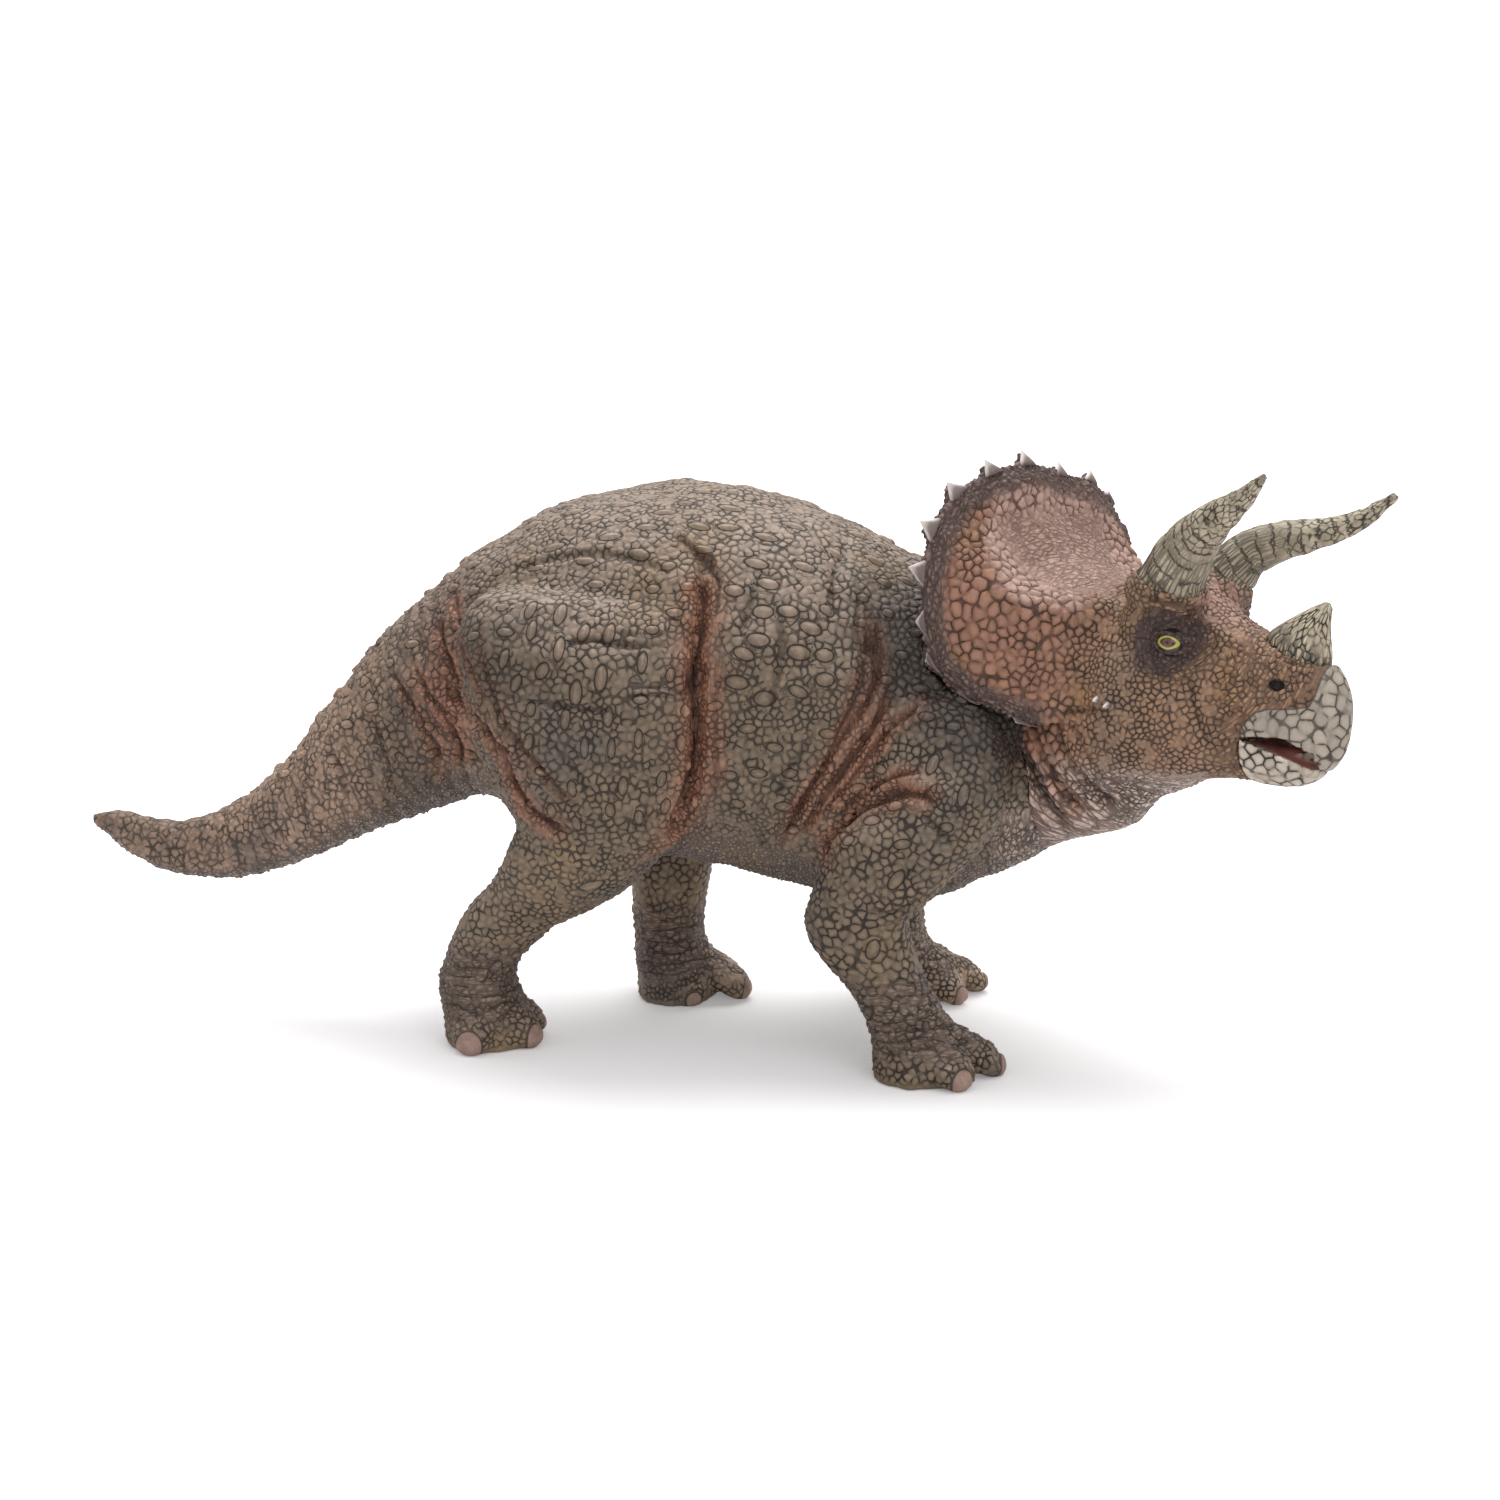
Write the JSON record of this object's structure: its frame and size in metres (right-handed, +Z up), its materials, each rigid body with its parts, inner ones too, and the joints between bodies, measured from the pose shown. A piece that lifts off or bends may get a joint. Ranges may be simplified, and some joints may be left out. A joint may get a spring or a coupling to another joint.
{
  "type": "toy dinosaur figure",
  "caption": "Moulded toy figure of a walking horned dinosaur with a neck frill, brow horns and a falling tail, standing on four flat soles.",
  "frame": {"origin": "middle of the figure's box seen from above, on the plane of the soles", "axes": "+X to the animal's front, +Y to its left side, +Z up; the head is turned to the right"},
  "size_m": [0.2214, 0.0708, 0.1047],
  "materials": {
    "body_paint": "satin painted PVC, olive brown with dark washed scales",
    "head_paint": "satin painted PVC, rusty brown with a dusty pink frill",
    "horn_paint": "satin painted PVC, grey beige with dark grooves"
  },
  "bodies": {
    "root": {"torso": "body_paint", "tail": "body_paint", "hind_leg_right": "body_paint", "hind_leg_left": "body_paint", "front_leg_right": "body_paint", "front_leg_left": "body_paint", "head": "head_paint", "lower_jaw": "horn_paint", "brow_horn_right": "horn_paint", "brow_horn_left": "horn_paint", "nose_horn": "horn_paint"}
  },
  "joints": []
}
